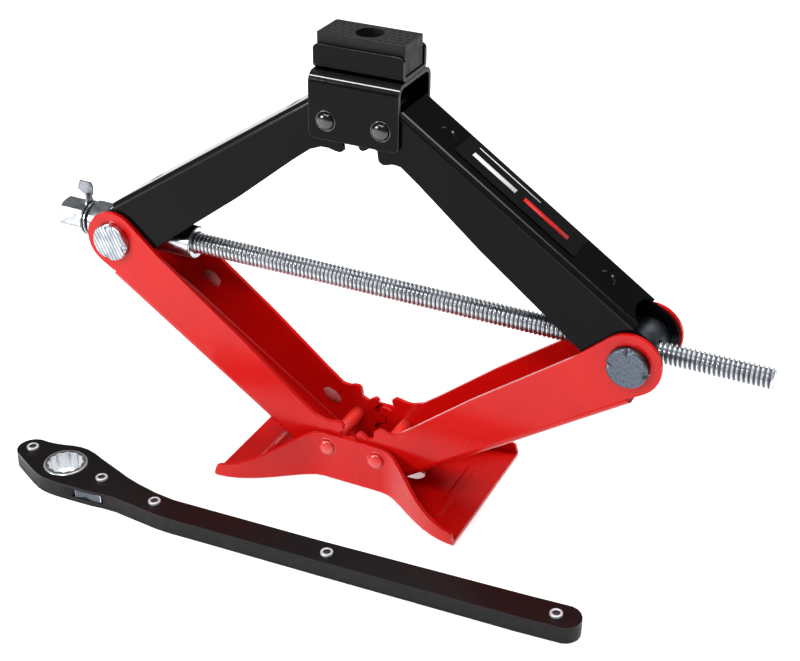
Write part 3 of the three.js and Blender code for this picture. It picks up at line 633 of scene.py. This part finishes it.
def camera():
    data = bpy.data.cameras.new("camera")
    data.lens = CAMERA_LENS
    data.sensor_width = 36
    data.sensor_fit = "HORIZONTAL"
    data.clip_end = 20
    yaw, pitch, roll = CAMERA_YAW, CAMERA_PITCH, CAMERA_ROLL
    level = math.cos(pitch)
    ahead = Vector((-math.sin(yaw) * level, math.cos(yaw) * level, math.sin(pitch)))
    right = Vector((math.cos(yaw), math.sin(yaw), 0))
    up = right.cross(ahead)
    turned_right = right * math.cos(roll) + up * math.sin(roll)
    turned_up = up * math.cos(roll) - right * math.sin(roll)
    made = bpy.data.objects.new("camera", data)
    bpy.context.scene.collection.objects.link(made)
    matrix = Matrix((turned_right, turned_up, -ahead)).transposed().to_4x4()
    matrix.translation = CAMERA_PLACE
    made.matrix_world = matrix
    bpy.context.scene.camera = made


def area_light(name, place, target, size, power, colour=(1, 1, 1)):
    data = bpy.data.lights.new(name, "AREA")
    data.shape = "RECTANGLE"
    data.size, data.size_y = size
    data.energy = power
    data.color = colour
    made = bpy.data.objects.new(name, data)
    bpy.context.scene.collection.objects.link(made)
    made.location = place
    made.rotation_euler = (Vector(target) - Vector(place)).to_track_quat("-Z", "Y").to_euler()


def studio():
    world = bpy.data.worlds.new("studio")
    bpy.context.scene.world = world
    world.use_nodes = True
    background = world.node_tree.nodes["Background"]
    background.inputs["Color"].default_value = (1, 1, 1, 1)
    background.inputs["Strength"].default_value = 0.18
    area_light("top", (0.2, 0.6, 1.7), (0, 0.15, 0), (1.7, 1.2), 34)
    area_light("key", (-0.95, -1.1, 0.55), (0, 0, 0.13), (0.45, 0.45), 12)
    area_light("strip", (-0.15, -0.8, 1.25), (0, 0, 0.1), (1.1, 0.2), 11)
    bm = bmesh.new()
    bmesh.ops.create_grid(bm, x_segments=24, y_segments=24, size=25)
    bmesh.ops.translate(bm, verts=bm.verts, vec=(0, 0, -0.0002))
    mesh = bpy.data.meshes.new("floor")
    bm.to_mesh(mesh)
    bm.free()
    paper = Surface("white paper", Specular_IOR_Level=0.1, Emission_Strength=0.4)
    paper.colour(paper.blend(paper.noise(3, 2), (0.93, 0.93, 0.93, 1), (0.96, 0.96, 0.96, 1)))
    paper.roughness(0.9)
    mesh.materials.append(paper.material)
    floor = bpy.data.objects.new("floor", mesh)
    bpy.context.scene.collection.objects.link(floor)
    bpy.context.scene.view_settings.view_transform = "Standard"


REFINED = {
    "base_plate": 0.6, "lower_arm_left": 0.5, "lower_arm_right": 0.5, "upper_arm_left": 0.5,
    "upper_arm_right": 0.5, "saddle_bracket": 0.6, "saddle_plate": 0.6, "thrust_collar": 0.25,
    "bearing_race": 0.15, "thrust_washer": 0.15, "spacer_sleeve": 0.2, "drive_head": 0.3, "drive_tab": 0.15,
    "saddle_rivet": 0.2, "handle_plate_top": 0.3, "handle_plate_bottom": 0.3,
    "ratchet_ring": 0.25, "pawl": 0.3, "reversing_lever": 0.4, "pawl_spring": 0.2, "label_plate": 0.06,
}
OWN_LOOKS = {"saddle_bracket": ("black", "black_gloss"), "saddle_plate": ("black", "black_gloss"),
             "drive_tab": ("tab", "zinc_edge"), "drive_head": ("hexagon", "zinc_edge"),
             "ratchet_ring": ("zinc", "screw_head"), "reversing_lever": ("dull", "screw_head"),
             "handle_plate_top": ("plate", "black_edge"), "handle_plate_bottom": ("core", "core")}
BENT = ("upper_arm_left", "upper_arm_right", "saddle_bracket", "saddle_plate")
for node, width in REFINED.items():
    refined(node, width, looks=OWN_LOOKS.get(node), bends=node in BENT)
for node in ("base_pin_left", "base_pin_right", "saddle_pin_left", "saddle_pin_right"):
    pin_with_domes(node)
staked_trunnion("trunnion_left", (92, -8, 256), "pin_left", "zinc")
staked_trunnion("trunnion_right", (90, -6, 182), "pin_right", "dull")
for number in range(1, 6):
    handle_screw(f"handle_screw_{number}")
handle_core()
rubber_pad()
label_marks()
pale_oval_marks()
drive_screw()
camera()
studio()
